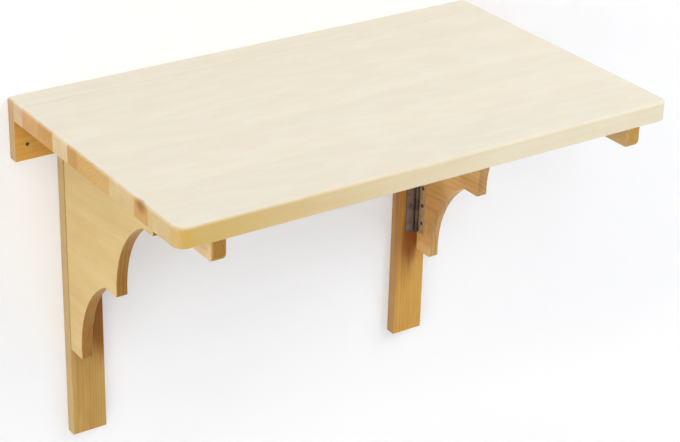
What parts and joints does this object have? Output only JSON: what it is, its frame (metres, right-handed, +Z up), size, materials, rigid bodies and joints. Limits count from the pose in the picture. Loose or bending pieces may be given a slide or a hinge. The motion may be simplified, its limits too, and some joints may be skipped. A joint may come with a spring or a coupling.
{
  "type": "wall mounted drop leaf table",
  "caption": "Solid wood wall table: a drop leaf hinged to a wall rail and held up by two swinging gussets with shaped coves.",
  "frame": {"origin": "centre of the rail's rear face, on the wall", "axes": "+X along the wall to the right as seen from the room, +Y into the wall, +Z up; the tabletop is 46.5 mm above the origin"},
  "size_m": [0.8, 0.48, 0.57],
  "materials": {
    "leaf_pine": "edge-glued pale pine under clear satin lacquer",
    "rail_pine": "honey pine under clear satin lacquer",
    "post_pine": "honey pine, upright grain, clear satin lacquer",
    "gusset_pine": "light pine, sawn coves, clear satin lacquer",
    "batten_pine": "honey pine under clear satin lacquer",
    "dowel_beech": "plain beech",
    "hinge_steel": "dark zinc-plated steel sheet",
    "pin_steel": "bright drawn steel",
    "screw_zinc": "zinc-plated"
  },
  "bodies": {
    "wall_frame": {"ledge_hinge_screws": "screw_zinc", "ledge_screws": "screw_zinc", "left_lower_hinge_pin": "pin_steel", "left_lower_post_hinge_leaf": "hinge_steel", "left_post": "post_pine", "left_post_dowels": "dowel_beech", "left_post_hinge_screws": "screw_zinc", "left_upper_hinge_pin": "pin_steel", "left_upper_post_hinge_leaf": "hinge_steel", "rear_ledge": "rail_pine", "right_lower_hinge_pin": "pin_steel", "right_lower_post_hinge_leaf": "hinge_steel", "right_post": "post_pine", "right_post_dowels": "dowel_beech", "right_post_hinge_screws": "screw_zinc", "right_upper_hinge_pin": "pin_steel", "right_upper_post_hinge_leaf": "hinge_steel", "table_hinge_1_ledge_leaf": "hinge_steel", "table_hinge_1_pin": "pin_steel", "table_hinge_2_ledge_leaf": "hinge_steel", "table_hinge_2_pin": "pin_steel", "table_hinge_3_ledge_leaf": "hinge_steel", "table_hinge_3_pin": "pin_steel", "wall_rail": "rail_pine"},
    "leaf": {"leaf_hinge_screws": "screw_zinc", "left_batten": "batten_pine", "left_batten_screws": "screw_zinc", "right_batten": "batten_pine", "right_batten_screws": "screw_zinc", "table_hinge_1_table_leaf": "hinge_steel", "table_hinge_2_table_leaf": "hinge_steel", "table_hinge_3_table_leaf": "hinge_steel", "table_leaf": "leaf_pine"},
    "left_gusset": {"left_gusset": "gusset_pine", "left_gusset_hinge_screws": "screw_zinc", "left_lower_gusset_hinge_leaf": "hinge_steel", "left_upper_gusset_hinge_leaf": "hinge_steel"},
    "right_gusset": {"right_gusset": "gusset_pine", "right_gusset_hinge_screws": "screw_zinc", "right_lower_gusset_hinge_leaf": "hinge_steel", "right_upper_gusset_hinge_leaf": "hinge_steel"}
  },
  "joints": [
    {"name": "leaf_lift", "type": "hinge", "parent": "wall_frame", "child": "leaf", "pos_m": [0, -0.0433, 0.0125], "axis": [-1, 0, 0], "range_deg": [0, 1]},
    {"name": "left_gusset_swing", "type": "hinge", "parent": "wall_frame", "child": "left_gusset", "pos_m": [-0.306, -0.022, -0.15], "axis": [0, 0, 1], "range_deg": [0, 90]},
    {"name": "right_gusset_swing", "type": "hinge", "parent": "wall_frame", "child": "right_gusset", "pos_m": [0.306, -0.022, -0.15], "axis": [0, 0, -1], "range_deg": [0, 90]}
  ]
}
